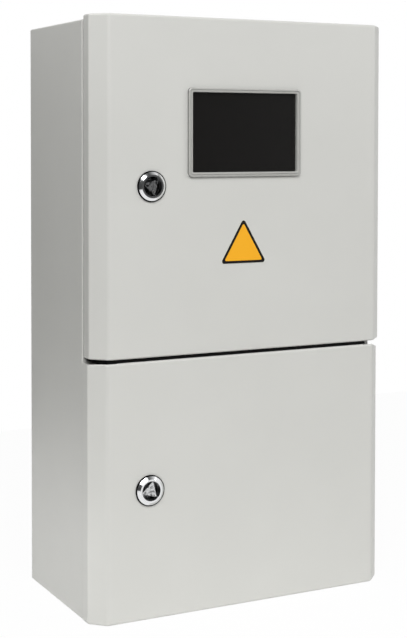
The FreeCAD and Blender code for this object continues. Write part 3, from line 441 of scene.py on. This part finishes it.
def skin(name, outlines, closed=False):
    """A mesh object from outlines of 3-D points; closed joins the last outline to the first."""
    count = len(outlines[0])
    points = [point for outline in outlines for point in outline]
    faces = []
    for row in range(len(outlines) - (0 if closed else 1)):
        here, there = row * count, ((row + 1) % len(outlines)) * count
        for index in range(count):
            following = (index + 1) % count
            faces.append((here + index, there + index, there + following, here + following))
    if not closed:
        faces.append(tuple(range(count)))
        faces.append(tuple(range(len(points) - count, len(points)))[::-1])
    mesh = bpy.data.meshes.new(name)
    mesh.from_pydata(points, [], faces)
    mesh.polygons.foreach_set("use_smooth", [True] * len(faces))
    mesh.set_sharp_from_angle(angle=math.radians(SHARP_FROM))
    piece = bpy.data.objects.new(name, mesh)
    bpy.context.scene.collection.objects.link(piece)
    return piece


print("outline and skin helpers ready")

# %% [markdown]
# ## The window
# The window is one clear moulding, pushed into the door from the front and held by the retainer. It has a
# sunk pane, a raised rim round it with a shallow groove, and a collar behind. Every edge is a little round,
# and those edges are what catches the light, so the rim is rebuilt here from its section. The section is a
# list of steps in millimetres, each an inset from the outer edge and a depth behind the door's face. The
# pane is a plain plate with its own finish.

# %% Rim and pane of the window
window_low, window_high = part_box("window_lens")
window_width, window_height = window_high.x - window_low.x, window_high.z - window_low.z
window_middle = (window_low + window_high) / 2
RIM_PROUD = 2.6 * mm        # how far the rim stands in front of the door
door_face = window_low.y + RIM_PROUD
RIM_SECTION = [
    (1.0, -2.6), (0.45, -2.46), (0.12, -2.1), (0, -1.6),        # front, rounded towards the outer wall
    (0, 0.02), (3.2, 0.02),                                     # outer wall, and the face on the door
    (3.2, 7.0), (5.2, 7.0), (5.2, 3.0), (4.2, 3.0),             # collar, and the step behind the pane
    (4.2, -1.7), (4.1, -2.2), (3.85, -2.5), (3.5, -2.6),        # inner wall, rounded towards the front
    (2.5, -2.6), (2.3, -2.0), (1.9, -2.0), (1.7, -2.6),         # groove in the front
]
OUTER_WALL = 3              # the section's step where the outer wall starts
RIM_CORNER = 4.0 * mm
INNER_CORNER = 1.2 * mm
PANE_INSET = 4.26           # in mm like the section, and just clear of the rim all round
PANE_FRONT, PANE_BACK = 1.0, 2.95


def window_outline(inset, depth):
    """The window's outer edge moved inwards and placed at a depth behind the door's face."""
    half_width, half_height = window_width / 2 - inset * mm, window_height / 2 - inset * mm
    corners = [Vector((-half_width, -half_height)), Vector((half_width, -half_height)),
               Vector((half_width, half_height)), Vector((-half_width, half_height))]
    flat = rounded_outline(corners, max(RIM_CORNER - inset * mm, INNER_CORNER))
    return [(window_middle.x + p.x, door_face + depth * mm, window_middle.z + p.y) for p in flat]


rim_outlines = [window_outline(*step) for step in RIM_SECTION]
window_rim = skin("window_rim", rim_outlines, closed=True)
window_pane = skin("window_pane", [window_outline(PANE_INSET, PANE_FRONT),
                                   window_outline(PANE_INSET, PANE_BACK)])
for piece in (window_rim, window_pane):
    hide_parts("window_lens")
    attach(piece, "upper_door")
print("window in mm:", round(window_width / mm, 1), "x", round(window_height / mm, 1))

# %% [markdown]
# ## Clear polycarbonate
# The pane is 2 mm of clear polycarbonate in front of a dark inside. The eye gets a nearly black plate with
# a thin, sharp reflection. A full glass shader would fill the picture with noise, so the pane is a smooth
# surface painted nearly black, the painted shade of the dark inside, that lets part of the light straight
# through. The rim is thicker, its mould was blasted, and the paint behind it shines through as a soft grey,
# so it lets less through and is lighter. Its outer wall, a ring of faces, gets a darker finish of its own:
# a painted shade line where the rim meets the door.

# %% Pane and rim finishes
MELT_FLOW = 14 * mm         # swirls left by the flow of the melt
FLOW_HEIGHT = 0.02 * mm


def clear_moulding(name, light, dark, opacity, blur):
    """Polycarbonate that lets 1 - opacity of the light straight through."""
    finish, tree, where = new_finish(name)
    flow = add_node(tree, "TexNoise", {"Vector": where, "Scale": 1 / MELT_FLOW})
    colour = add_node(tree, "Mix", {0: flow.outputs["Fac"], 6: paint_chip(dark), 7: paint_chip(light)},
                      data_type='RGBA')
    swirl = add_node(tree, "Bump", {"Height": flow.outputs["Fac"], "Distance": FLOW_HEIGHT})
    clear = add_node(tree, "BsdfPrincipled", {"Base Color": colour.outputs[2], "Roughness": blur,
                                              "IOR": 1.58, "Alpha": opacity,
                                              "Normal": swirl.outputs["Normal"]})
    add_node(tree, "OutputMaterial", {"Surface": clear.outputs["BSDF"]})
    return finish


# painted shade: the pane is nearly black and nearly opaque, standing in for the dark inside of the box
wear(window_pane, clear_moulding("pane_polycarbonate_painted_shade", "191817", "161514", 0.92, 0.03))
wear(window_rim, clear_moulding("blasted_polycarbonate", "C6C6C2", "B8B8B4", 0.86, 0.2))
# painted shade: the rim's outer wall is darker, a shade line where the rim meets the door
window_rim.data.materials.append(clear_moulding("rim_edge_painted_shade", "5B5B59", "50504E", 0.9, 0.2))
ring = len(rim_outlines[0])
for polygon in list(window_rim.data.polygons)[OUTER_WALL * ring:(OUTER_WALL + 1) * ring]:
    polygon.material_index = 1
print("window finishes:", window_pane.data.materials[0].name, window_rim.data.materials[0].name)

# %% [markdown]
# ## The sticker
# Below the window sits a triangular vinyl sticker, left plain here. It is printed in two inks: an amber
# field inside a black border with round corners, and a thin pale edge where the film ends. An image texture
# could carry the print. Here each ink is a film of its own, a few hundredths of a millimetre thick, because
# then the border stays sharp from any distance. The film itself is the CAD solid below them.

# %% Ink films on the sticker
STICKER_SIDE = 48.4 * mm    # before its corners were rounded
PRINT_THICKNESS = 0.04 * mm
FILM_EDGE = 0.15 * mm       # unprinted edge of the film
BORDER_WIDTH = 2.4 * mm
BORDER_CORNER = 2.3 * mm    # radius of the border's outer corners
FIELD_CORNER = 1.1 * mm     # radius of the amber field's corners
CORNER_STEPS = 8
INK_GRAIN = 0.6 * mm
INK_DEPTH = 0.003 * mm
sticker_low, sticker_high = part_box("triangle_sticker")
sticker_radius = STICKER_SIDE / math.sqrt(3)        # from its middle to a corner
sticker_x = (sticker_low.x + sticker_high.x) / 2
sticker_z = sticker_low.z + sticker_radius / 2
film_face = sticker_low.y
border_front, field_front = film_face - PRINT_THICKNESS, film_face - 2 * PRINT_THICKNESS


def triangle_outline(inset, corner, depth):
    """The sticker's triangle moved inwards, with round corners, at a place along Y."""
    radius = sticker_radius - 2 * inset
    turns = [math.radians(90 + 120 * index) for index in range(3)]
    corners = [Vector((math.cos(turn), math.sin(turn))) * radius for turn in turns]
    flat = rounded_outline(corners, corner, CORNER_STEPS)
    return [(sticker_x + p.x, depth, sticker_z + p.y) for p in flat]


sticker_border = skin("sticker_border", [triangle_outline(FILM_EDGE, BORDER_CORNER, border_front),
                                         triangle_outline(FILM_EDGE, BORDER_CORNER, film_face)])
field_inset = FILM_EDGE + BORDER_WIDTH
sticker_field = skin("sticker_field", [triangle_outline(field_inset, FIELD_CORNER, field_front),
                                       triangle_outline(field_inset, FIELD_CORNER, border_front)])
for piece in (sticker_border, sticker_field):
    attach(piece, "upper_door")
amber_ink = moulded("amber_vinyl_ink", "FBB52A", "F8B126", INK_GRAIN, INK_DEPTH, 0.5, 0.6, shine=0.2)
black_ink = moulded("black_vinyl_ink", "0C0B0A", "080706", INK_GRAIN, INK_DEPTH, 0.5, 0.6, shine=0.2)
white_film = moulded("white_vinyl_film", "E9E6DC", "E4E1D6", INK_GRAIN, INK_DEPTH, 0.4, 0.5)
wear(sticker_field, amber_ink)
wear(sticker_border, black_ink)
wear(nodes["triangle_sticker"], white_film)
print("sticker side in mm:", STICKER_SIDE / mm)

# %% [markdown]
# ## The table and the background
# The box stands on a white table in a white studio. The table is pale and matte, so it throws light back up
# at the lower part of the box. For the camera it is mixed with plain white, which keeps a trace of the
# shadow. The world is white for the camera and for what is seen through clear pieces, and dimmer as a
# source of light. In reflections it is white behind the box and to its right, and dark in front of it,
# where the studio is unlit. That keeps the pane nearly black and gives the chrome its dark accents.

# %% Table and world
FLOOR_DROP = 0.2 * mm       # so that the table and the underside of the box don't share one plane
TABLE_WIDTH = 2.6
TABLE_DEPTH = 1.5
TABLE_WHITE = 0.97          # share of plain white in the table, for the camera
ROOM_LIGHT = 0.01           # strength of the world as a source of light
DARK_ROOM = 0.06            # brightness of the studio's dark half, in reflections
WHITE_SIDE = (0.9, 0.43, 0.0)           # direction of its white half
DARK_UP_TO, WHITE_FROM = -0.1, 0.8      # how far a reflection has to point that way


def seen_directly(tree, ray_kinds):
    """1 for these kinds of rays, otherwise 0."""
    path = add_node(tree, "LightPath")
    most = path.outputs[ray_kinds[0]]
    for kind in ray_kinds[1:]:
        both = add_node(tree, "Math", {0: most, 1: path.outputs[kind]}, operation='MAXIMUM')
        most = both.outputs["Value"]
    return most


def studio_table():
    """A pale table just below the box."""
    mesh = bpy.data.meshes.new("studio_table")
    x, y = TABLE_WIDTH / 2, TABLE_DEPTH / 2
    level = cad_low.z - FLOOR_DROP
    mesh.from_pydata([(-x, -y, level), (x, -y, level), (x, y, level), (-x, y, level)], [], [(0, 1, 2, 3)])
    table = bpy.data.objects.new("studio_table", mesh)
    bpy.context.scene.collection.objects.link(table)
    finish, tree, _ = new_finish("studio_white")
    matte = add_node(tree, "BsdfDiffuse", {"Color": paint_chip("F2F2F0")})
    white = add_node(tree, "Emission", {"Color": (1, 1, 1, 1), "Strength": 1.0})
    direct = seen_directly(tree, ["Is Camera Ray", "Is Glossy Ray", "Is Transmission Ray"])
    share = add_node(tree, "Math", {0: direct, 1: TABLE_WHITE}, operation='MULTIPLY')
    mix = add_node(tree, "MixShader", {0: share.outputs["Value"], 1: matte.outputs["BSDF"],
                                       2: white.outputs["Emission"]})
    add_node(tree, "OutputMaterial", {"Surface": mix.outputs["Shader"]})
    wear(table, finish)


def studio_world():
    """White where the camera looks, half dark in reflections, and dim as a source of light."""
    world = bpy.data.worlds.new("studio")
    bpy.context.scene.world = world
    world.use_nodes = True
    tree = world.node_tree
    tree.nodes.clear()
    direction = add_node(tree, "TexCoord").outputs["Generated"]
    side = add_node(tree, "VectorMath", {0: direction, 1: WHITE_SIDE}, operation='DOT_PRODUCT')
    bright = add_node(tree, "MapRange", {"Value": side.outputs["Value"], "From Min": DARK_UP_TO,
                                         "From Max": WHITE_FROM, "To Min": DARK_ROOM, "To Max": 1.0},
                      interpolation_type='SMOOTHSTEP')
    dim = add_node(tree, "Background", {"Color": (1, 1, 1, 1), "Strength": ROOM_LIGHT})
    mirrored = add_node(tree, "Background", {"Color": (1, 1, 1, 1), "Strength": bright.outputs["Result"]})
    white = add_node(tree, "Background", {"Color": (1, 1, 1, 1), "Strength": 1.0})
    reflected = add_node(tree, "MixShader", {0: seen_directly(tree, ["Is Glossy Ray"]),
                                             1: dim.outputs["Background"],
                                             2: mirrored.outputs["Background"]})
    direct = seen_directly(tree, ["Is Camera Ray", "Is Transmission Ray"])
    shown = add_node(tree, "MixShader", {0: direct, 1: reflected.outputs["Shader"],
                                         2: white.outputs["Background"]})
    add_node(tree, "OutputWorld", {"Surface": shown.outputs["Shader"]})


studio_table()
studio_world()
print("table and world made")

# %% [markdown]
# ## Lamps
# One large soft box gives most of the light. It hangs ahead of the box, a little to its left and high up, so
# that the front is bright and the left side darker. A weaker one fills from the right. Two small ones shape
# the left side, which is brightest at the top and at the foot: one hangs above it, and a weak strip lies on
# the table beside it. None of the lamps can be seen in the picture.

# %% Lamps
def soft_box(name, place, target, width, height, watts):
    """A rectangular area lamp turned towards a point."""
    lamp = bpy.data.lights.new(name, 'AREA')
    lamp.shape = 'RECTANGLE'
    lamp.size = width
    lamp.size_y = height
    lamp.energy = watts
    holder = bpy.data.objects.new(name, lamp)
    bpy.context.scene.collection.objects.link(holder)
    holder.location = place
    holder.rotation_euler = (Vector(target) - Vector(place)).to_track_quat('-Z', 'Y').to_euler()
    holder.visible_camera = False


box_middle = (0, 0, 0.27)
soft_box("front_soft_box", place=(-0.8, -1.8, 1.9), target=box_middle, width=1.7, height=1.7, watts=57.7)
soft_box("right_soft_box", place=(1.8, -1.3, 1.3), target=box_middle, width=1.2, height=1.2, watts=17.0)
soft_box("left_soft_box", place=(-0.4, 0, 0.75), target=(-0.2, 0, 0.3), width=0.4, height=0.3, watts=0.6)
soft_box("table_strip", place=(-0.32, 0, 0.02), target=(-0.15, 0, 0.05), width=0.4, height=0.03, watts=0.1)
print("lamps:", [light.name for light in bpy.data.lights])

# %% [markdown]
# ## The camera
# The camera stands left of the box, a little above its middle, and looks slightly down. Its focal length
# and place come from matching the box's corners. The lens is shifted down, as on a view camera, which keeps
# the upright edges nearly parallel while the box stays in the frame.

# %% Camera
PICTURE_HEIGHT = 638        # in pixels
FOCAL_LENGTH = 1383.7       # in pixels
AXIS_ROW = 184.0            # row of the picture that the camera's axis passes through
SENSOR_LENGTH = 36.0        # mm, along the picture's longer side, which is its height
CAMERA_PLACE = (-0.6148, -1.1900, 0.4299)
CAMERA_TURN = 27.12         # degrees to the right of straight at the doors
CAMERA_TILT = 1.84          # degrees down
CAMERA_ROLL = 0.07          # degrees, anticlockwise

camera_data = bpy.data.cameras.new("camera")
camera_data.sensor_width = SENSOR_LENGTH
camera_data.lens = FOCAL_LENGTH / PICTURE_HEIGHT * SENSOR_LENGTH
camera_data.shift_y = (AXIS_ROW - PICTURE_HEIGHT / 2) / PICTURE_HEIGHT
camera = bpy.data.objects.new("camera", camera_data)
bpy.context.scene.collection.objects.link(camera)
turn = (Matrix.Rotation(math.radians(-CAMERA_TURN), 4, 'Z')
        @ Matrix.Rotation(math.radians(90 - CAMERA_TILT), 4, 'X')
        @ Matrix.Rotation(math.radians(CAMERA_ROLL), 4, 'Z'))
camera.matrix_world = Matrix.Translation(CAMERA_PLACE) @ turn
bpy.context.scene.camera = camera
bpy.context.scene.view_settings.view_transform = 'Standard'
print("lens in mm:", round(camera_data.lens, 1), "shift:", round(camera_data.shift_y, 4))
